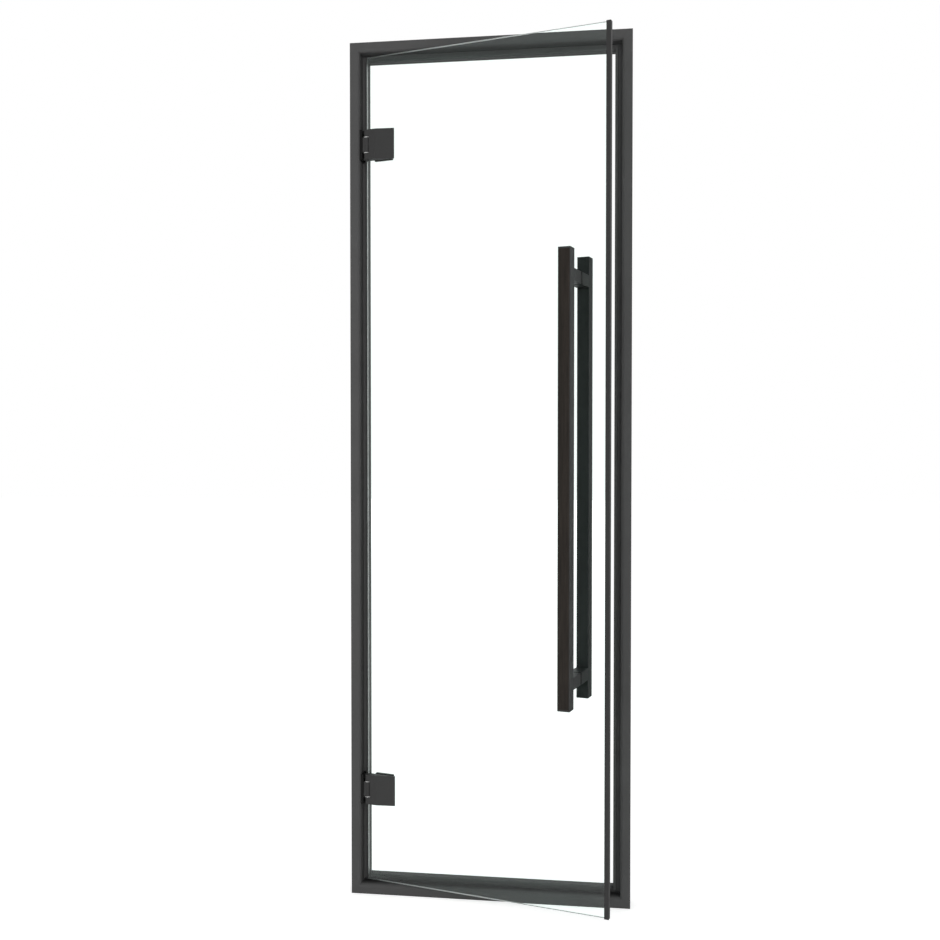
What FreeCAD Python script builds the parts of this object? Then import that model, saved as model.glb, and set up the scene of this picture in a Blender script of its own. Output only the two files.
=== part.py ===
# Steam room door: an aluminium frame with a clear glass leaf, shown slightly open.
# X runs to the right along the frame, the front faces -Y and Z points up. The origin is
# the middle of the sill's underside. Leaf parts are drawn closed and then swung open.
import math
import os

import FreeCAD
import Part
import Sketcher

V = FreeCAD.Vector

doc = FreeCAD.newDocument("steam_room_door")
sheet = doc.addObject("Spreadsheet::Sheet", "sizes")


class Dim:
    """A size that keeps its number and the expression it came from."""

    def __init__(self, value, text):
        self.value = float(value)
        self.text = text

    def __add__(self, other):
        other = dim(other)
        return Dim(self.value + other.value, "(%s + %s)" % (self.text, other.text))

    def __sub__(self, other):
        other = dim(other)
        return Dim(self.value - other.value, "(%s - %s)" % (self.text, other.text))

    def __mul__(self, factor):
        return Dim(self.value * factor, "(%s * %s)" % (self.text, factor))

    def __truediv__(self, factor):
        return Dim(self.value / factor, "(%s / %s)" % (self.text, factor))

    def __neg__(self):
        return Dim(-self.value, "(0 - %s)" % self.text)


def dim(value):
    return value if isinstance(value, Dim) else Dim(value, repr(float(value)))


rows = []


def size(alias, value, note):
    """Put one named size in the sheet and give it back."""
    rows.append(alias)
    row = len(rows)
    sheet.set("A%d" % row, note)
    sheet.set("B%d" % row, repr(float(value)))
    sheet.setAlias("B%d" % row, alias)
    return Dim(value, "sizes." + alias)


# Frame
frame_w = size("frame_w", 680, "frame width over the jambs")
frame_ht = size("frame_ht", 2080, "frame height over head and sill")
frame_d = size("frame_d", 50, "frame depth")
flange_w = size("flange_w", 24, "width of the face of the frame section")
flange_round = size("flange_round", 8, "radius of the round on the inner front edge")
lip_end = size("lip_end", 41, "width of the frame section over its stop lip")
rebate_d = size("rebate_d", 34, "depth of the rebate in front of the stop lip")
wall = size("wall", 2.5, "wall of the hollow section")
edge_round = size("edge_round", 0.8, "rounding of the outer front edges")
edge_wall = size("edge_wall", 8, "thick wall beside the rebate")
fix_r = size("fix_r", 3.25, "radius of the wall fixing holes")
fix_end = size("fix_end", 140, "outer wall fixing holes from the ends of a jamb")
fix_in = size("fix_in", 24, "wall fixing holes behind the front face")

# Leaf
leaf_gap = size("leaf_gap", 5, "gap from the leaf to the head and the sill")
latch_gap = size("latch_gap", 7.3, "gap from the closed leaf to the latch jamb")
axis_x = size("axis_x", 40, "hinge axis from the outer side of the hinge jamb")
axis_in = size("axis_in", 10, "hinge axis behind the front face")
glass_t = size("glass_t", 8, "glass thickness")
glass_back = size("glass_back", 8.3, "outer face of the glass behind the hinge axis")
glass_start = size("glass_start", 4.5, "hinge edge of the glass beyond the hinge axis")
glass_arris = size("glass_arris", 0.8, "ground arris of the glass")
glass_hole_r = size("glass_hole_r", 8, "radius of the holes in the glass")
strip_w = size("strip_w", 10.7, "width of the free edge profile")
strip_wall = size("strip_wall", 2, "cheek of the free edge profile")
strip_base = size("strip_base", 3, "base of the free edge profile")
strip_over = size("strip_over", 1.3, "free edge profile beyond the glass, each end")
open_deg = size("open_deg", 14.5, "opening angle the leaf is shown at, degrees")

# Seals
seal_w = size("seal_w", 8, "width of the seals on the stop lip")
seal_round = size("seal_round", 3, "rounding of the seals")
seal_gap = size("seal_gap", 0.8, "gap from the closed leaf to the seals")

# Hinges
hinge_low = size("hinge_low", 258, "lower hinge above the underside")
hinge_drop = size("hinge_drop", 246, "upper hinge below the top")
hinge_ht = size("hinge_ht", 73, "height of the hinges")
knuckle_r = size("knuckle_r", 7.5, "radius of the hinge knuckles")
knuckle_mid = size("knuckle_mid", 36, "height of the middle knuckle")
washer_t = size("washer_t", 1.4, "thickness of the hinge washers")
run_gap = size("run_gap", 0.05, "running gap at pins and washers")
pin_r = size("pin_r", 4, "radius of the hinge pins")
clamp_t = size("clamp_t", 7, "thickness of the inner clamp plate")
clamp_thick = size("clamp_thick", 14.8, "outer clamp beside the hinge axis")
clamp_thin = size("clamp_thin", 2.5, "outer clamp at its far side")
clamp_u0 = size("clamp_u0", 8.8, "outer clamp plate from the hinge axis")
clamp_bend = size("clamp_bend", 26, "start of the outer clamp's taper from the hinge axis")
clamp_far = size("clamp_far", 70, "far side of the outer clamp from the hinge axis")
clamp_in = size("clamp_in", 13.5, "inner clamp plate from the hinge axis")
clamp_u1 = size("clamp_u1", 60.5, "far side of the inner clamp from the hinge axis")
clamp_round = size("clamp_round", 1, "rounding of the far edge of the outer clamps")
clamp_hole = size("clamp_hole", 37, "clamp screw from the hinge axis")
gasket_t = size("gasket_t", 1, "thickness of gaskets and glass washers")
screw_r = size("screw_r", 4, "radius of the clamp screws")
screw_grip = size("screw_grip", 6, "clamp screws inside the outer clamp")
screw_head_r = size("screw_head_r", 7, "clamp screw heads, middle to corner")
screw_head_t = size("screw_head_t", 4, "height of the clamp screw heads")
plate_t = size("plate_t", 5.5, "thickness of the frame hinge plates")
plate_in = size("plate_in", 3, "frame hinge plates behind the front face")
plate_screw_r = size("plate_screw_r", 2.4, "radius of the plate screws")
plate_head_r = size("plate_head_r", 4.5, "plate screw heads, middle to corner")
plate_head_t = size("plate_head_t", 2.5, "height of the plate screw heads")
plate_screw_len = size("plate_screw_len", 15, "length of the plate screws under the head")
plate_pitch = size("plate_pitch", 54, "distance between the plate screws")
plate_screw_in = size("plate_screw_in", 26, "plate screws behind the front face")
plate_channel = size("plate_channel", 10.4, "width of the channel for the plate screw heads")

# Handle
bar_w = size("bar_w", 28.5, "width of the handle bars")
bar_d = size("bar_d", 32, "depth of the handle bars")
bar_len = size("bar_len", 1026, "length of the handle bars")
bar_edge = size("bar_edge", 81.7, "middle of the handle from the free edge")
handle_drop = size("handle_drop", 13, "middle of the handle below the middle of the frame")
bar_gap = size("bar_gap", 54, "gap from the glass to the handle bars")
bar_round = size("bar_round", 1, "rounding of the long edges of the handle bars")
inlay_side = size("inlay_side", 1.5, "cheek beside the wood inlay")
inlay_end = size("inlay_end", 4, "end wall beyond the wood inlay")
inlay_t = size("inlay_t", 8, "depth of the groove for the wood inlay")
inlay_proud = size("inlay_proud", 0.3, "wood inlay in front of its bar")
inlay_round = size("inlay_round", 0.6, "edge rounding of the wood inlay")
inlay_gap = size("inlay_gap", 0.1, "gap round the wood inlay")
standoff_end = size("standoff_end", 57.5, "standoffs from the ends of the bars")
standoff_ht = size("standoff_ht", 28, "height of the standoffs")
bolt_r = size("bolt_r", 4, "radius of the handle bolts")
bolt_in = size("bolt_in", 28, "handle bolts inside each standoff")
washer_in = size("washer_in", 0.5, "washers on the glass inside the edge of the standoffs")
doc.recompute()

LEFT = frame_w / -2
FRONT = frame_d / -2
AXIS = (LEFT + axis_x, FRONT + axis_in)
GLASS_OUT = AXIS[1] + glass_back
GLASS_IN = GLASS_OUT + glass_t
LEAF_Z0 = flange_w + leaf_gap
LEAF_Z1 = frame_ht - LEAF_Z0
LEAF_X1 = -LEFT - flange_w - latch_gap
GLASS_X0 = AXIS[0] - glass_start
GLASS_X1 = LEAF_X1 - strip_base
LIP_FRONT = FRONT + rebate_d
HINGES = (("lower", hinge_low), ("upper", frame_ht - hinge_drop))
parts = []


def new_body(name, leaf=False):
    """Start a sub-part; leaf sub-parts are turned about the hinge axis."""
    body = doc.addObject("PartDesign::Body", name)
    body.Label = name
    if leaf:
        ax, ay = AXIS
        turn = FreeCAD.Rotation(V(0, 0, -1), open_deg.value)
        centre = V(ax.value, ay.value, 0)
        body.Placement = FreeCAD.Placement(centre - turn.multVec(centre), turn)
        cosine = "cos(%s * 1deg)" % open_deg.text
        sine = "sin(%s * 1deg)" % open_deg.text
        body.setExpression("Placement.Rotation.Angle", "%s * 1deg" % open_deg.text)
        body.setExpression("Placement.Base.x", "%s * (1 - %s) - %s * %s" % (ax.text, cosine, ay.text, sine))
        body.setExpression("Placement.Base.y", "%s * (1 - %s) + %s * %s" % (ay.text, cosine, ax.text, sine))
    parts.append(body)
    return body


def new_sketch(body, plane, level):
    """Add a sketch on an origin plane of the body, moved out along the plane's normal."""
    sketch = body.newObject("Sketcher::SketchObject", body.Name + "_sketch")
    support = [f for f in body.Origin.OriginFeatures if f.Role == plane][0]
    sketch.AttachmentSupport = (support, [""])
    sketch.MapMode = "FlatFace"
    level = dim(level)
    sketch.AttachmentOffset = FreeCAD.Placement(V(0, 0, level.value), FreeCAD.Rotation())
    sketch.setExpression("AttachmentOffset.Base.z", level.text)
    return sketch


def bind(sketch, index, name, value):
    sketch.renameConstraint(index, name)
    sketch.setExpression("Constraints." + name, value.text)


def polygon(sketch, points):
    """Draw a closed outline whose corners are tied to the sizes."""
    points = [(dim(a), dim(b)) for a, b in points]
    first = sketch.GeometryCount
    count = len(points)
    for i, (a, b) in enumerate(points):
        c, d = points[(i + 1) % count]
        sketch.addGeometry(Part.LineSegment(V(a.value, b.value, 0), V(c.value, d.value, 0)), False)
    for i in range(count):
        after = first + (i + 1) % count
        sketch.addConstraint(Sketcher.Constraint("Coincident", first + i, 2, after, 1))
    for i, (a, b) in enumerate(points):
        corner = first + i
        k = sketch.addConstraint(Sketcher.Constraint("DistanceX", -1, 1, corner, 1, a.value))
        bind(sketch, k, "x%d" % corner, a)
        k = sketch.addConstraint(Sketcher.Constraint("DistanceY", -1, 1, corner, 1, b.value))
        bind(sketch, k, "y%d" % corner, b)


def box_outline(sketch, a0, b0, a1, b1):
    polygon(sketch, [(a0, b0), (a1, b0), (a1, b1), (a0, b1)])


def circle(sketch, a, b, radius):
    """Draw a circle whose centre and radius are tied to the sizes."""
    a, b, radius = dim(a), dim(b), dim(radius)
    g = sketch.addGeometry(Part.Circle(V(a.value, b.value, 0), V(0, 0, 1), radius.value), False)
    k = sketch.addConstraint(Sketcher.Constraint("DistanceX", -1, 1, g, 3, a.value))
    bind(sketch, k, "cx%d" % g, a)
    k = sketch.addConstraint(Sketcher.Constraint("DistanceY", -1, 1, g, 3, b.value))
    bind(sketch, k, "cy%d" % g, b)
    k = sketch.addConstraint(Sketcher.Constraint("Radius", g, radius.value))
    bind(sketch, k, "r%d" % g, radius)


def hexagon(sketch, a, b, radius):
    """Draw a hexagon with its corners at the given radius."""
    high = math.sqrt(3) / 2
    corners = [(1, 0), (0.5, high), (-0.5, high), (-1, 0), (-0.5, -high), (0.5, -high)]
    polygon(sketch, [(dim(a) + radius * p, dim(b) + radius * q) for p, q in corners])


def extrude(body, sketch, length, kind="Pad"):
    """Pad along the sketch normal, or pocket against it, by a tied length."""
    length = dim(length)
    feature = body.newObject("PartDesign::" + kind, body.Name + "_" + kind.lower())
    feature.Profile = sketch
    feature.Length = length.value
    feature.setExpression("Length", length.text)
    sketch.Visibility = False
    doc.recompute()
    return feature


def block(body, x0, x1, y0, y1, z0, z1):
    """Pad a box given by its six sides."""
    sketch = new_sketch(body, "XY_Plane", z0)
    box_outline(sketch, x0, y0, x1, y1)
    return extrude(body, sketch, dim(z1) - z0)


def upright(body, x, y, radius, z0, z1, kind="Pad"):
    """Pad or pocket a round along Z."""
    sketch = new_sketch(body, "XY_Plane", z0 if kind == "Pad" else z1)
    circle(sketch, x, y, radius)
    return extrude(body, sketch, dim(z1) - z0, kind)


def across(body, x, z, radius, y0, y1, kind="Pad"):
    """Pad or pocket a round along Y; the XZ plane's normal points to -Y."""
    sketch = new_sketch(body, "XZ_Plane", -dim(y1) if kind == "Pad" else -dim(y0))
    circle(sketch, x, z, radius)
    return extrude(body, sketch, dim(y1) - y0, kind)


def along(body, y, z, radius, x0, x1, kind="Pad"):
    """Pad or pocket rounds along X; z can be a list."""
    sketch = new_sketch(body, "YZ_Plane", x0 if kind == "Pad" else x1)
    for level in z if isinstance(z, (list, tuple)) else [z]:
        circle(sketch, y, level, radius)
    return extrude(body, sketch, dim(x1) - x0, kind)


def dress(body, kind, base, value, pick):
    """Round or bevel the edges of a feature that the pick function accepts."""
    names = ["Edge%d" % (i + 1) for i, edge in enumerate(base.Shape.Edges) if pick(edge)]
    feature = body.newObject("PartDesign::" + kind, body.Name + "_" + kind.lower())
    feature.Base = (base, names)
    attribute = "Radius" if kind == "Fillet" else "Size"
    setattr(feature, attribute, value.value)
    feature.setExpression(attribute, value.text)
    doc.recompute()
    return feature


def edge_on(edge, **at):
    """True when both ends of an edge lie at the given coordinates."""
    for axis, value in at.items():
        for vertex in edge.Vertexes:
            if abs(getattr(vertex.Point, axis) - value.value) > 0.01:
                return False
    return True


def section(outer, side):
    """Corners of the frame section: outer(a) and side(b) place a width and a depth."""
    ring = [(0, 0), (flange_w, 0), (flange_w, rebate_d),
            (lip_end, rebate_d), (lip_end, frame_d), (0, frame_d)]
    inner_wall = flange_w - edge_wall
    main = [(wall, wall), (inner_wall, wall), (inner_wall, frame_d - wall), (wall, frame_d - wall)]
    lip = [(inner_wall + wall, rebate_d + wall), (lip_end - wall, rebate_d + wall),
           (lip_end - wall, frame_d - wall), (inner_wall + wall, frame_d - wall)]
    return [[(outer(dim(a)), side(dim(b))) for a, b in loop] for loop in (ring, main, lip)]


def depth(b):
    return FRONT + b


def frame_member(name, plane, outer, inner_edge, outer_edge, start, length, corners):
    """Extrude the frame section and mitre both ends with triangular pockets."""
    body = new_body(name)
    sketch = new_sketch(body, plane, start)
    for loop in section(outer, depth):
        if plane == "YZ_Plane":
            loop = [(b, a) for a, b in loop]
        polygon(sketch, loop)
    bar = extrude(body, sketch, length)
    bar = dress(body, "Fillet", bar, flange_round, lambda e: edge_on(e, **inner_edge))
    dress(body, "Fillet", bar, edge_round, lambda e: edge_on(e, **outer_edge))
    sketch = new_sketch(body, "XZ_Plane", dim(4) - FRONT)
    for triangle in corners:
        polygon(sketch, triangle)
    extrude(body, sketch, frame_d + 8, "Pocket")
    return body


# Frame: two jambs and two rails with mitred corners
far = lip_end + 4
for name, side in (("hinge_jamb", 1), ("latch_jamb", -1)):
    def jamb_x(a, side=side):
        return (LEFT + a) * side
    cuts = []
    for level, way in ((dim(0), 1), (frame_ht, -1)):
        cuts.append([(jamb_x(dim(-4)), level - 4 * way), (jamb_x(far), level - 4 * way),
                     (jamb_x(far), level + far * way)])
    jamb = frame_member(name, "XY_Plane", jamb_x, {"x": jamb_x(flange_w), "y": FRONT},
                        {"x": jamb_x(dim(0)), "y": FRONT}, 0, frame_ht, cuts)
    span = frame_ht - fix_end * 2
    levels = [fix_end, fix_end + span / 2, fix_end + span]
    ends = sorted([jamb_x(dim(-1)), jamb_x(flange_w + 1)], key=lambda d: d.value)
    along(jamb, depth(fix_in), levels, fix_r, ends[0], ends[1], "Pocket")
    if side == 1:
        levels = [level + plate_pitch * k for label, level in HINGES for k in (-0.5, 0.5)]
        along(jamb, depth(plate_screw_in), levels, plate_screw_r + run_gap,
              jamb_x(wall + 1), jamb_x(flange_w), "Pocket")

for name, base, way in (("sill_rail", dim(0), 1), ("head_rail", frame_ht, -1)):
    def rail_z(a, base=base, way=way):
        return base + a * way
    cuts = []
    for edge, turn in ((LEFT, 1), (-LEFT, -1)):
        cuts.append([(edge - 4 * turn, rail_z(dim(-4))), (edge - 4 * turn, rail_z(far)),
                     (edge + far * turn, rail_z(far))])
    frame_member(name, "YZ_Plane", rail_z, {"y": FRONT, "z": rail_z(flange_w)},
                 {"y": FRONT, "z": rail_z(dim(0))}, LEFT, frame_w, cuts)

# Seals on the stop lip, set off from the closed leaf by a small gap
seal_front = GLASS_IN + seal_gap
latch_front = seal_front + strip_wall
seal_x0 = LEFT + lip_end
seal_x1 = -LEFT - lip_end
rail_end = LEAF_X1 - strip_w - 2


def seal(name, x0, x1, front, z0, z1, **edges):
    """A strip on the stop lip whose two long front edges are rounded."""
    body = new_body(name)
    strip = block(body, x0, x1, front, LIP_FRONT, z0, z1)
    axis, ends = list(edges.items())[0]
    dress(body, "Fillet", strip, seal_round,
          lambda e: any(edge_on(e, **{axis: end, "y": front}) for end in ends))


seal("hinge_side_seal", seal_x0 - seal_w, seal_x0, seal_front, lip_end, frame_ht - lip_end,
     x=(seal_x0 - seal_w, seal_x0))
seal("latch_side_seal", seal_x1, seal_x1 + seal_w, latch_front, lip_end - seal_w,
     frame_ht - lip_end + seal_w, x=(seal_x1, seal_x1 + seal_w))
for name, z0 in (("sill_seal", lip_end - seal_w), ("head_seal", frame_ht - lip_end)):
    seal(name, seal_x0 - seal_w, rail_end, seal_front, z0, z0 + seal_w, z=(z0, z0 + seal_w))

# Hinges
half = hinge_ht / 2
mid = knuckle_mid / 2
leaf_knuckle = mid + washer_t + run_gap * 2
plate_x0 = LEFT + flange_w
plate_x1 = LEFT + flange_w + plate_t
neck = plate_x1 - plate_head_t
channel_x = neck - run_gap
channel_y0 = depth(plate_screw_in) - plate_channel / 2
channel_y1 = depth(plate_screw_in) + plate_channel / 2
for label, level in HINGES:
    body = new_body(label + "_frame_hinge")
    sketch = new_sketch(body, "XY_Plane", level - half)
    polygon(sketch, [(plate_x0, depth(plate_in)), (plate_x1, depth(plate_in)),
                     (plate_x1, channel_y0), (channel_x, channel_y0), (channel_x, channel_y1),
                     (plate_x1, channel_y1), (plate_x1, LIP_FRONT), (plate_x0, LIP_FRONT)])
    extrude(body, sketch, hinge_ht)
    block(body, plate_x0 + 1, AXIS[0], AXIS[1] - 6, AXIS[1] + 6, level - mid, level + mid)
    upright(body, AXIS[0], AXIS[1], knuckle_r, level - mid, level + mid)
    upright(body, AXIS[0], AXIS[1], pin_r + run_gap, level - mid, level + mid, "Pocket")
    screws = [level - plate_pitch / 2, level + plate_pitch / 2]
    along(body, depth(plate_screw_in), screws, plate_screw_r + run_gap, plate_x0 - 1, plate_x1, "Pocket")
    for place, z in zip(("bottom", "top"), screws):
        body = new_body("%s_plate_%s_screw" % (label, place))
        along(body, depth(plate_screw_in), z, plate_screw_r, neck - plate_screw_len, neck)
        sketch = new_sketch(body, "YZ_Plane", neck)
        hexagon(sketch, depth(plate_screw_in), z, plate_head_r)
        extrude(body, sketch, plate_head_t)

    body = new_body(label + "_outer_clamp", True)
    x0, x1 = AXIS[0] + clamp_u0, AXIS[0] + clamp_far
    y1 = GLASS_OUT - gasket_t
    y0 = y1 - clamp_thick
    sketch = new_sketch(body, "XY_Plane", level - half)
    polygon(sketch, [(x0, y0), (AXIS[0] + clamp_bend, y0), (x1, y1 - clamp_thin), (x1, y1), (x0, y1)])
    wedge = extrude(body, sketch, hinge_ht)
    dress(body, "Fillet", wedge, clamp_round, lambda e: edge_on(e, x=x1, y=y1 - clamp_thin))
    for z0, z1 in ((level - half, level - leaf_knuckle), (level + leaf_knuckle, level + half)):
        block(body, AXIS[0], x0 + 1, y0, y1, z0, z1)
        upright(body, AXIS[0], AXIS[1], knuckle_r, z0, z1)
        upright(body, AXIS[0], AXIS[1], pin_r + run_gap, z0, z1, "Pocket")
    hole_x = AXIS[0] + clamp_hole
    across(body, hole_x, level, screw_r + run_gap, y1 - screw_grip - 1, y1, "Pocket")

    body = new_body(label + "_inner_clamp", True)
    y0 = GLASS_IN + gasket_t
    x1 = AXIS[0] + clamp_u1
    block(body, AXIS[0] + clamp_in, x1, y0, y0 + clamp_t, level - half, level + half)
    across(body, hole_x, level, screw_r + run_gap, y0 - 1, y0 + clamp_t, "Pocket")

    for place, y in (("outer", GLASS_OUT - gasket_t), ("inner", GLASS_IN)):
        body = new_body("%s_%s_gasket" % (label, place), True)
        x0, x1 = AXIS[0] + clamp_in, AXIS[0] + clamp_u1 - 1
        z0, z1 = level - half + 1, level + half - 1
        slot = screw_r + run_gap
        sketch = new_sketch(body, "XZ_Plane", -(y + gasket_t))
        polygon(sketch, [(x0, z0), (x1, z0), (x1, z1), (x0, z1), (x0, level + slot),
                         (hole_x + slot, level + slot), (hole_x + slot, level - slot), (x0, level - slot)])
        extrude(body, sketch, gasket_t)

    body = new_body(label + "_clamp_screw", True)
    head = y0 + clamp_t
    across(body, hole_x, level, screw_r, GLASS_OUT - gasket_t - screw_grip, head)
    sketch = new_sketch(body, "XZ_Plane", -(head + screw_head_t))
    hexagon(sketch, hole_x, level, screw_head_r)
    extrude(body, sketch, screw_head_t)

    body = new_body(label + "_hinge_pin", True)
    upright(body, AXIS[0], AXIS[1], pin_r, level - half + 1, level + half - 1)
    for place, z0 in (("bottom", level - mid - run_gap - washer_t), ("top", level + mid + run_gap)):
        body = new_body("%s_%s_washer" % (label, place), True)
        upright(body, AXIS[0], AXIS[1], knuckle_r, z0, z0 + washer_t)
        upright(body, AXIS[0], AXIS[1], pin_r + run_gap, z0, z0 + washer_t, "Pocket")

# Glass with its holes
handle_z = frame_ht / 2 - handle_drop
bar_z0, bar_z1 = handle_z - bar_len / 2, handle_z + bar_len / 2
standoffs = (("lower", bar_z0 + standoff_end), ("upper", bar_z1 - standoff_end))
bar_x = LEAF_X1 - bar_edge
glass = new_body("glass_pane", True)
pane = block(glass, GLASS_X0, GLASS_X1, GLASS_OUT, GLASS_IN, LEAF_Z0 + strip_over, LEAF_Z1 - strip_over)
dress(glass, "Chamfer", pane, glass_arris, lambda e: edge_on(e, y=GLASS_OUT) or edge_on(e, y=GLASS_IN))
sketch = new_sketch(glass, "XZ_Plane", dim(1) - GLASS_OUT)
for label, level in HINGES:
    circle(sketch, AXIS[0] + clamp_hole, level, glass_hole_r)
for label, level in standoffs:
    circle(sketch, bar_x, level, glass_hole_r)
extrude(glass, sketch, glass_t + 2, "Pocket")

# Profile on the free edge of the glass
body = new_body("free_edge_profile", True)
sketch = new_sketch(body, "XY_Plane", LEAF_Z0)
strip_x0 = LEAF_X1 - strip_w
polygon(sketch, [(strip_x0, GLASS_OUT - strip_wall), (LEAF_X1, GLASS_OUT - strip_wall),
                 (LEAF_X1, GLASS_IN + strip_wall), (strip_x0, GLASS_IN + strip_wall),
                 (strip_x0, GLASS_IN), (GLASS_X1, GLASS_IN), (GLASS_X1, GLASS_OUT), (strip_x0, GLASS_OUT)])
extrude(body, sketch, LEAF_Z1 - LEAF_Z0)

# Handle: one bar each side, two bolts through standoffs and glass
for label, face, way in (("outer", GLASS_OUT, -1), ("inner", GLASS_IN, 1)):
    near = face + bar_gap * way
    back = near + bar_d * way
    y0, y1 = (back, near) if way == -1 else (near, back)
    bar = new_body(label + "_handle_bar", True)
    blank = block(bar, bar_x - bar_w / 2, bar_x + bar_w / 2, y0, y1, bar_z0, bar_z1)
    dress(bar, "Fillet", blank, bar_round, lambda e: not edge_on(e, z=bar_z0) and not edge_on(e, z=bar_z1))
    if label == "outer":
        groove = bar_w / 2 - inlay_side
        sketch = new_sketch(bar, "XZ_Plane", dim(1) - back)
        box_outline(sketch, bar_x - groove, bar_z0 + inlay_end, bar_x + groove, bar_z1 - inlay_end)
        extrude(bar, sketch, inlay_t + 1, "Pocket")
        inlay = new_body("handle_wood_inlay", True)
        groove = groove - inlay_gap
        end = inlay_end + inlay_gap
        blank = block(inlay, bar_x - groove, bar_x + groove, back - inlay_proud, back + inlay_t,
                      bar_z0 + end, bar_z1 - end)
        dress(inlay, "Fillet", blank, inlay_round, lambda e: edge_on(e, y=back - inlay_proud))
    for place, level in standoffs:
        foot = face + gasket_t * way
        bore = foot + (bolt_in + 1) * way
        y0, y1 = (near, foot) if way == -1 else (foot, near)
        body = new_body("%s_%s_standoff" % (place, label), True)
        block(body, bar_x - bar_w / 2, bar_x + bar_w / 2, y0, y1,
              level - standoff_ht / 2, level + standoff_ht / 2)
        y0, y1 = (bore, foot) if way == -1 else (foot, bore)
        across(body, bar_x, level, bolt_r + run_gap, y0, y1, "Pocket")
        y0, y1 = (foot, face) if way == -1 else (face, foot)
        half_w, half_h = bar_w / 2 - washer_in, standoff_ht / 2 - washer_in
        body = new_body("%s_%s_glass_washer" % (place, label), True)
        block(body, bar_x - half_w, bar_x + half_w, y0, y1, level - half_h, level + half_h)
        across(body, bar_x, level, bolt_r + run_gap, y0 - 1, y1 + 1, "Pocket")
bolt_end = gasket_t + bolt_in
for place, level in standoffs:
    body = new_body(place + "_handle_bolt", True)
    across(body, bar_x, level, bolt_r, GLASS_OUT - bolt_end, GLASS_IN + bolt_end)

doc.recompute()
os.makedirs("parts", exist_ok=True)
for item in doc.Objects:
    if "Invalid" in item.State or "Error" in item.State:
        raise RuntimeError("%s: %s" % (item.Name, item.State))
for body in parts:
    shape = body.Shape
    if shape.isNull() or not shape.isValid() or len(shape.Solids) != 1:
        raise RuntimeError("bad shape in " + body.Label)
    shape.exportStep("parts/%s.step" % body.Label)
print(len(parts), "parts")
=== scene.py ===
# Steam room door in its frame: dark powder coated aluminium, a clear glass leaf that stands
# slightly open, two hinges and a square pull bar on each face. Metres throughout.
import math

import bpy
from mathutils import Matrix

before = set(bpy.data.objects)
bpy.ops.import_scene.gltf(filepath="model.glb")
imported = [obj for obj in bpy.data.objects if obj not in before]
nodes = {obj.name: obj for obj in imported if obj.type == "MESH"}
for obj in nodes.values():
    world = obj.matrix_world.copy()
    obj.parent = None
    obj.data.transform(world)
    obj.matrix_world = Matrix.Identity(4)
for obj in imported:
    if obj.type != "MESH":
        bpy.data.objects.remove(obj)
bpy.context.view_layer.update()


# Frame: four lengths of the same extruded aluminium section, mitred at the corners and
# powder coated in a fine matt dark grey.
def add_node(tree, kind, **values):
    """Add a shader node; values are its properties or its unlinked inputs."""
    node = tree.nodes.new(kind)
    for key, value in values.items():
        if hasattr(node, key):
            setattr(node, key, value)
        else:
            node.inputs[key.replace("_", " ")].default_value = value
    return node


def new_material(name):
    """An empty material with a Principled shader; gives the material, tree and shader."""
    material = bpy.data.materials.new(name)
    material.use_nodes = True
    tree = material.node_tree
    return material, tree, tree.nodes["Principled BSDF"]


def object_noise(tree, scale, stretch=(1, 1, 1), detail=2.0, rough=0.5):
    """Noise on Object coordinates, its cells per metre given by scale and stretch."""
    place = add_node(tree, "ShaderNodeTexCoord")
    mapping = add_node(tree, "ShaderNodeMapping", Scale=stretch)
    noise = add_node(tree, "ShaderNodeTexNoise", Scale=scale, Detail=detail, Roughness=rough)
    tree.links.new(place.outputs["Object"], mapping.inputs["Vector"])
    tree.links.new(mapping.outputs["Vector"], noise.inputs["Vector"])
    return noise.outputs["Fac"]


def faded(tree, value, start, end, low, high):
    """A value that goes from low to high while another goes from start to end."""
    node = add_node(tree, "ShaderNodeMapRange", From_Min=start, From_Max=end,
                    To_Min=low, To_Max=high)
    tree.links.new(value, node.inputs["Value"])
    return node.outputs["Result"]


def ranged(tree, noise, low, high):
    """Map noise, which mostly lies between 0.3 and 0.7, to a range."""
    return faded(tree, noise, 0.3, 0.7, low, high)


def fill(tree, sockets, values):
    """Give each socket its value, which is a plain one or comes from another socket."""
    for socket, value in zip(sockets, values):
        if isinstance(value, bpy.types.NodeSocket):
            tree.links.new(value, socket)
        else:
            socket.default_value = value


def blended(tree, amount, first, second):
    """A colour between two others."""
    node = add_node(tree, "ShaderNodeMix", data_type="RGBA")
    fill(tree, (node.inputs[0], node.inputs[6], node.inputs[7]), (amount, first, second))
    return node.outputs[2]


def grey(value):
    """A neutral colour."""
    return (value, value, value, 1)


def bumped(tree, shader, height, depth, strength=1.0):
    """Roughen the surface by a height map whose full depth is given in metres."""
    node = add_node(tree, "ShaderNodeBump", Distance=depth, Strength=strength)
    tree.links.new(height, node.inputs["Height"])
    tree.links.new(node.outputs["Normal"], shader.inputs["Normal"])


def coating(name, dark, light, rough, grain, depth, specular=0.5):
    """A sprayed or moulded finish: fine orange peel, faint patches, uneven gloss."""
    material, tree, shader = new_material(name)
    shader.inputs["Specular IOR Level"].default_value = specular
    patches = ranged(tree, object_noise(tree, 9.0, detail=4.0), 0, 1)
    tree.links.new(blended(tree, patches, dark, light), shader.inputs["Base Color"])
    peel = object_noise(tree, grain, detail=3.0, rough=0.6)
    tree.links.new(ranged(tree, peel, rough - 0.05, rough + 0.05), shader.inputs["Roughness"])
    bumped(tree, shader, peel, depth)
    return material


def powder_coating(name):
    """The frame's powder coat."""
    return coating(name, grey(0.065), grey(0.073), rough=0.62, grain=1400.0, depth=0.00006,
                   specular=0.35)


def finish_node(name, material):
    """Give a CAD node its material."""
    for slot in nodes[name].material_slots:
        slot.material = material


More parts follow.
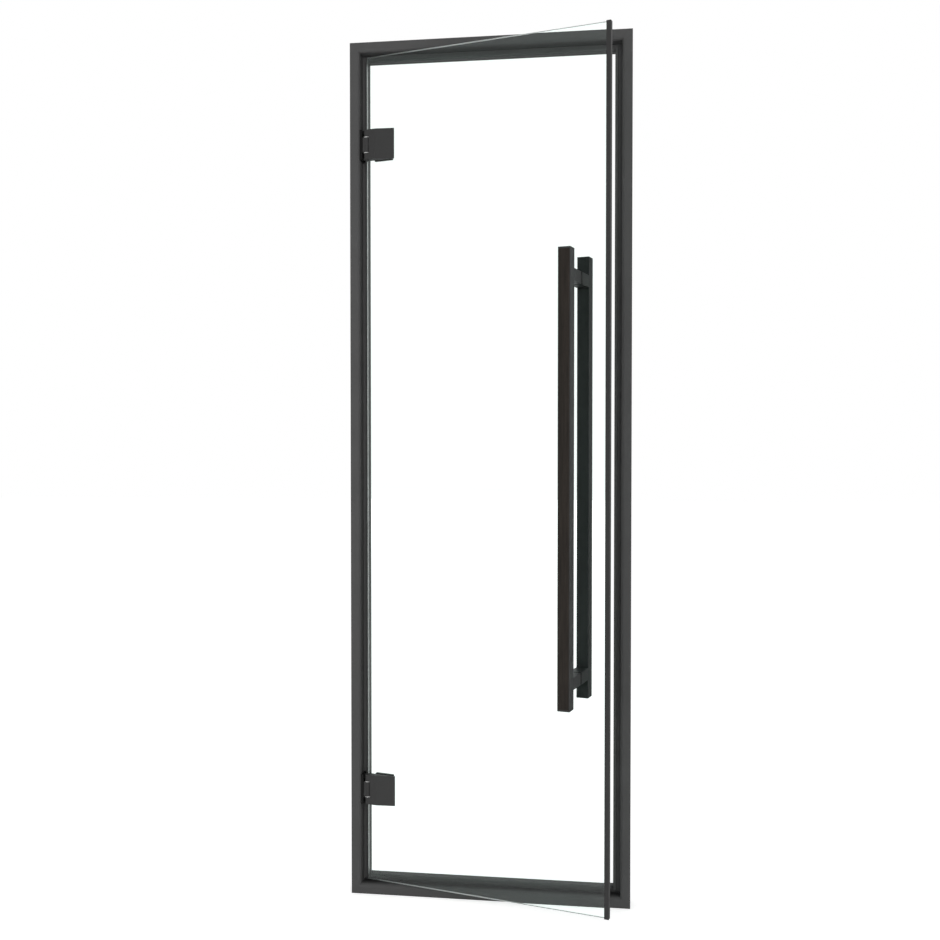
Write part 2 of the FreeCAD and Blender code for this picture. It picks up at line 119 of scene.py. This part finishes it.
frame_coat = powder_coating("frame_powder_coat")
for name in ("hinge_jamb", "latch_jamb", "head_rail"):
    finish_node(name, frame_coat)


# Sill: the same section with the same coating, with painted shade at the back of its rebate and
# partly up its stop lip, where that corner lies in shade.
def calculated(tree, operation, *values):
    """The result of a Math node on plain values and sockets."""
    node = add_node(tree, "ShaderNodeMath", operation=operation)
    fill(tree, node.inputs, values)
    return node.outputs[0]


def along(tree, axis, coordinates="Object"):
    """How far a point lies along an axis."""
    place = add_node(tree, "ShaderNodeTexCoord")
    split = add_node(tree, "ShaderNodeSeparateXYZ")
    tree.links.new(place.outputs[coordinates], split.inputs["Vector"])
    return split.outputs[axis]


# The painted shade begins in the rebate, is full before the lip and ends short of the back face; up
# the lip it is only partly there.
shade_begins, shade_full = -0.017, -0.001
shade_fades, shade_ends = 0.019, 0.024
rebate_floor, lip_face = 0.025, 0.030
lip_shade = 0.4
sill_coat = powder_coating("sill_powder_coat")
tree = sill_coat.node_tree
coat_colour = tree.nodes["Principled BSDF"].inputs["Base Color"]
unshaded = coat_colour.links[0].from_socket
inwards = along(tree, "Y")
in_rebate = faded(tree, inwards, shade_begins, shade_full, 0, 1)
before_back = faded(tree, inwards, shade_fades, shade_ends, 1, 0)
low_down = faded(tree, along(tree, "Z"), rebate_floor, lip_face, 1, lip_shade)
shade = calculated(tree, "MULTIPLY", in_rebate, before_back)
shade = calculated(tree, "MULTIPLY", shade, low_down)
# Painted shade: the coat's colour goes towards near black in the corner of rebate and lip.
tree.links.new(blended(tree, shade, unshaded, grey(0.022)), coat_colour)
finish_node("sill_rail", sill_coat)


# Seals: soft silicone strips in the stop lip all round, which the closed leaf presses on.
# They are grey and dull, with a faint bloom; the one in the sill is a darker copy of the same
# silicone, painted shade.
def silicone(name, dark, light):
    """Dull silicone rubber."""
    return coating(name, dark, light, rough=0.72, grain=700.0, depth=0.00008)


seal_rubber = silicone("seal_silicone", (0.056, 0.058, 0.057, 1), (0.068, 0.070, 0.069, 1))
for name in ("hinge_side_seal", "latch_side_seal", "head_seal"):
    finish_node(name, seal_rubber)
# The sill's seal is the same silicone painted a shade darker, as painted shade.
shaded_sill_rubber = silicone("sill_seal_painted_shade_silicone", (0.044, 0.046, 0.045, 1), (0.054, 0.056, 0.055, 1))
finish_node("sill_seal", shaded_sill_rubber)


# Hinges: cast plates and knuckles, satin coated. On the frame's half the plate is painted near
# black as painted shade for the gap beside it, and the middle knuckle is grey; a wedge-shaped clamp
# outside and a flat one inside hold the glass.
levels = ("lower", "upper")
faces = ("outer", "inner")
clamp_coat = coating("hinge_satin_coat", grey(0.036), grey(0.041), rough=0.46, grain=900.0,
                     depth=0.00004, specular=0.35)
for level in levels:
    for face in faces:
        finish_node("%s_%s_clamp" % (level, face), clamp_coat)

plate_edge, knuckle_edge = -0.3095, -0.3085
frame_half_with_painted_shade, tree, shader = new_material("frame_hinge_coat")
# Painted shade: the plate, in the gap beside the knuckles, is painted near black; the knuckle keeps
# a grey like the clamps.
clear_of_painted_shade = faded(tree, along(tree, "X"), plate_edge, knuckle_edge, 0, 1)
tree.links.new(blended(tree, clear_of_painted_shade, grey(0.008), grey(0.042)), shader.inputs["Base Color"])
shader.inputs["Specular IOR Level"].default_value = 0.2
peel = object_noise(tree, 900.0, detail=3.0, rough=0.6)
tree.links.new(ranged(tree, peel, 0.38, 0.48), shader.inputs["Roughness"])
bumped(tree, shader, peel, depth=0.00004)
for level in levels:
    finish_node(level + "_frame_hinge", frame_half_with_painted_shade)


# Hinge washers: turned light grey nylon rings between the knuckles, on which the leaf turns.
washer_nylon = coating("washer_nylon", (0.60, 0.60, 0.59, 1), (0.68, 0.68, 0.67, 1),
                       rough=0.5, grain=1200.0, depth=0.00003)
for level in levels:
    for end in ("bottom", "top"):
        finish_node("%s_%s_washer" % (level, end), washer_nylon)


# Screws, bolts and pins: satin stainless steel with fine turning marks round their length.
steel, tree, shader = new_material("satin_steel")
shader.inputs["Metallic"].default_value = 1.0
marks = object_noise(tree, 60.0, stretch=(1, 60, 60), detail=3.0)
steel_colour = blended(tree, ranged(tree, marks, 0, 1),
                       (0.42, 0.42, 0.43, 1), (0.55, 0.55, 0.56, 1))
tree.links.new(steel_colour, shader.inputs["Base Color"])
tree.links.new(ranged(tree, marks, 0.28, 0.42), shader.inputs["Roughness"])
bumped(tree, shader, marks, depth=0.00002)
for level in levels:
    for piece in ("plate_bottom_screw", "plate_top_screw", "clamp_screw", "hinge_pin",
                  "handle_bolt"):
        finish_node("%s_%s" % (level, piece), steel)


# Gaskets: thin black rubber between the metal and the glass, at the clamps and standoffs.
gasket_rubber = coating("gasket_rubber", grey(0.012), grey(0.018), rough=0.8, grain=1500.0,
                        depth=0.00005)
for level in levels:
    for face in faces:
        finish_node("%s_%s_gasket" % (level, face), gasket_rubber)
        finish_node("%s_%s_glass_washer" % (level, face), gasket_rubber)


# Glass: one 8 mm pane of clear toughened glass. It bends what is seen through it and
# mirrors a little; its edges are ground, so they look frosted. Lamps shine through it.
def mixed_shaders(tree, amount, first, second):
    """The first shader where the amount is 0, and the second where it is 1."""
    node = add_node(tree, "ShaderNodeMixShader")
    fill(tree, node.inputs, (amount, first, second))
    return node.outputs["Shader"]


open_angle = math.radians(14.5)
leaf_normal = (math.sin(open_angle), math.cos(open_angle), 0)
face_turn, edge_turn = 0.98, 0.90
frosting = 0.45
clear_glass, tree, shader = new_material("clear_toughened_glass")
shader.inputs["Base Color"].default_value = (0.93, 1.0, 0.975, 1)
shader.inputs["IOR"].default_value = 1.5
shader.inputs["Transmission Weight"].default_value = 1.0
shader.inputs["Specular IOR Level"].default_value = 0.3
place = add_node(tree, "ShaderNodeTexCoord")
pane_facing = add_node(tree, "ShaderNodeVectorMath", operation="DOT_PRODUCT")
fill(tree, pane_facing.inputs, (place.outputs["Normal"], leaf_normal))
flatness = calculated(tree, "ABSOLUTE", pane_facing.outputs["Value"])
tree.links.new(faded(tree, flatness, face_turn, edge_turn, 0, frosting), shader.inputs["Roughness"])
lamp_path = add_node(tree, "ShaderNodeLightPath")
lamp_through = add_node(tree, "ShaderNodeBsdfTransparent", Color=(0.80, 0.87, 0.85, 1))
glass_surface = mixed_shaders(tree, lamp_path.outputs["Is Shadow Ray"], shader.outputs["BSDF"],
                              lamp_through.outputs["BSDF"])
tree.links.new(glass_surface, tree.nodes["Material Output"].inputs["Surface"])
finish_node("glass_pane", clear_glass)


# Free edge profile: a slim channel pushed over the free edge of the glass, coated like
# the frame, a shade darker.
strip_coat = coating("edge_profile_coat", grey(0.030), grey(0.035), rough=0.5, grain=1200.0,
                     depth=0.00004, specular=0.4)
finish_node("free_edge_profile", strip_coat)


# Handle: a square pull bar on each face, on two standoffs bolted through the glass.
# The bars are satin coated metal, the inner one in a darker copy of the coat that is painted shade;
# the outer one has an oiled dark wood inlay in its front.
def satin_coating(name, dark, light, specular):
    """The handle's satin coat."""
    return coating(name, dark, light, rough=0.42, grain=1100.0, depth=0.00004,
                   specular=specular)


handle_coat = satin_coating("handle_satin_coat", (0.032, 0.033, 0.033, 1),
                            (0.038, 0.039, 0.039, 1), specular=0.32)
# The inner bar's darker copy of the handle coat is painted shade.
inner_bar_shaded_coat = satin_coating("inner_bar_painted_shade_coat", (0.024, 0.025, 0.025, 1),
                               (0.029, 0.030, 0.030, 1), specular=0.27)
finish_node("outer_handle_bar", handle_coat)
finish_node("inner_handle_bar", inner_bar_shaded_coat)
for level in levels:
    for face in faces:
        finish_node("%s_%s_standoff" % (level, face), handle_coat)

inlay_wood, tree, shader = new_material("dark_oiled_wood")
figure = object_noise(tree, 30.0, stretch=(9, 9, 0.35), detail=6.0, rough=0.65)
pores = object_noise(tree, 60.0, stretch=(30, 30, 1.2), detail=3.0, rough=0.5)
grain = calculated(tree, "MULTIPLY", ranged(tree, figure, 0.2, 1), ranged(tree, pores, 0.6, 1))
wood_colour = blended(tree, grain, (0.006, 0.0045, 0.0035, 1), (0.033, 0.026, 0.0205, 1))
tree.links.new(wood_colour, shader.inputs["Base Color"])
shader.inputs["Specular IOR Level"].default_value = 0.3
tree.links.new(ranged(tree, pores, 0.62, 0.48), shader.inputs["Roughness"])
bumped(tree, shader, pores, depth=0.0001, strength=0.5)
finish_node("handle_wood_inlay", inlay_wood)


# Studio: a pale floor that keeps the soft shadow, a white surround as in the photograph,
# one large soft lamp in front on the right and a weaker one on the left.
def seen_light(tree, direct, through_glass):
    """A strength for what the camera sees itself, and another for what it sees through glass."""
    path = add_node(tree, "ShaderNodeLightPath").outputs
    turns = calculated(tree, "ADD", path["Diffuse Depth"], path["Glossy Depth"])
    unscattered = calculated(tree, "LESS_THAN", turns, 0.5)
    glass = calculated(tree, "MULTIPLY", path["Is Transmission Ray"], unscattered)
    glass_light = calculated(tree, "MULTIPLY", glass, through_glass)
    direct_light = calculated(tree, "MULTIPLY", path["Is Camera Ray"], direct)
    return calculated(tree, "ADD", glass_light, direct_light)


# Where the floor is mirrored it brightens far behind the door, up to the white surround,
# so that no hard horizon shows in the glass.
floor_size = 40.0
floor_drop = 0.0005
glow_begins, glow_full, glow = 2.0, 12.0, 0.36
bpy.ops.object.select_all(action="DESELECT")
bpy.ops.mesh.primitive_plane_add(size=floor_size, location=(0, 0, -floor_drop))
floor = bpy.context.object
floor.name = "studio_floor"
floor_paint, tree, shader = new_material("pale_floor")
shader.inputs["Base Color"].default_value = grey(0.80)
shader.inputs["Roughness"].default_value = 0.9
shader.inputs["Emission Color"].default_value = grey(1)
mirror = add_node(tree, "ShaderNodeLightPath").outputs["Is Glossy Ray"]
far_light = faded(tree, along(tree, "Y"), glow_begins, glow_full, 0, glow)
mirrored_light = calculated(tree, "MULTIPLY", far_light, mirror)
floor_light = calculated(tree, "ADD", mirrored_light,
                         seen_light(tree, direct=0.60, through_glass=0.80))
tree.links.new(floor_light, shader.inputs["Emission Strength"])
floor.data.materials.append(floor_paint)

# The surround is white where the camera sees it and dimmer as a light; mirrored, it is dim
# in front of the door and bright behind it.
mirror_turn = (-0.3, 0.6)
dim_front, bright_back = 0.25, 0.8
world = bpy.data.worlds.new("studio")
bpy.context.scene.world = world
world.use_nodes = True
tree = world.node_tree
white = tree.nodes["Background"]
white.inputs["Color"].default_value = grey(1)
tree.links.new(seen_light(tree, direct=1.0, through_glass=1.15), white.inputs["Strength"])
ambient = add_node(tree, "ShaderNodeBackground", Color=grey(1), Strength=0.5)
mirrored = add_node(tree, "ShaderNodeBackground", Color=grey(1))
mirrored_strength = faded(tree, along(tree, "Y", "Generated"), *mirror_turn,
                          dim_front, bright_back)
tree.links.new(mirrored_strength, mirrored.inputs["Strength"])
path = add_node(tree, "ShaderNodeLightPath")
surround = mixed_shaders(tree, path.outputs["Is Glossy Ray"], ambient.outputs["Background"],
                         mirrored.outputs["Background"])
plain_view = calculated(tree, "GREATER_THAN",
                        seen_light(tree, direct=1.0, through_glass=1.0), 0.5)
whole = mixed_shaders(tree, plain_view, surround, white.outputs["Background"])
tree.links.new(whole, tree.nodes["World Output"].inputs["Surface"])


def add_lamp(name, place, width, power):
    """A square soft lamp that shines from its place towards the middle of the door."""
    lamp = bpy.data.lights.new(name, "AREA")
    lamp.shape = "SQUARE"
    lamp.size = width
    lamp.energy = power
    holder = bpy.data.objects.new(name, lamp)
    bpy.context.scene.collection.objects.link(holder)
    holder.location = place
    away = [a - b for a, b in zip(place, (0, 0, 1.0))]
    flat = math.hypot(away[0], away[1])
    holder.rotation_euler = (math.atan2(flat, away[2]), 0, math.atan2(away[0], -away[1]))
    holder.visible_glossy = False
    holder.visible_transmission = False


add_lamp("key_lamp", place=(1.3, -4.4, 1.8), width=2.6, power=92)
add_lamp("fill_lamp", place=(-2.2, -3.4, 2.0), width=2.0, power=26)


# Camera: the photograph's place and lens. It stands right of the middle at chest height
# and looks slightly left and down.
look_down = math.radians(1.2171)
look_left = math.radians(8.0098)
camera = bpy.data.cameras.new("camera")
camera.sensor_width = 36.0
camera.lens = 42.073
eye = bpy.data.objects.new("camera", camera)
bpy.context.scene.collection.objects.link(eye)
eye.location = (0.32358, -2.64549, 1.10071)
eye.rotation_euler = (math.radians(90) - look_down, 0, look_left)
bpy.context.scene.camera = eye
bpy.context.scene.view_settings.view_transform = "Standard"
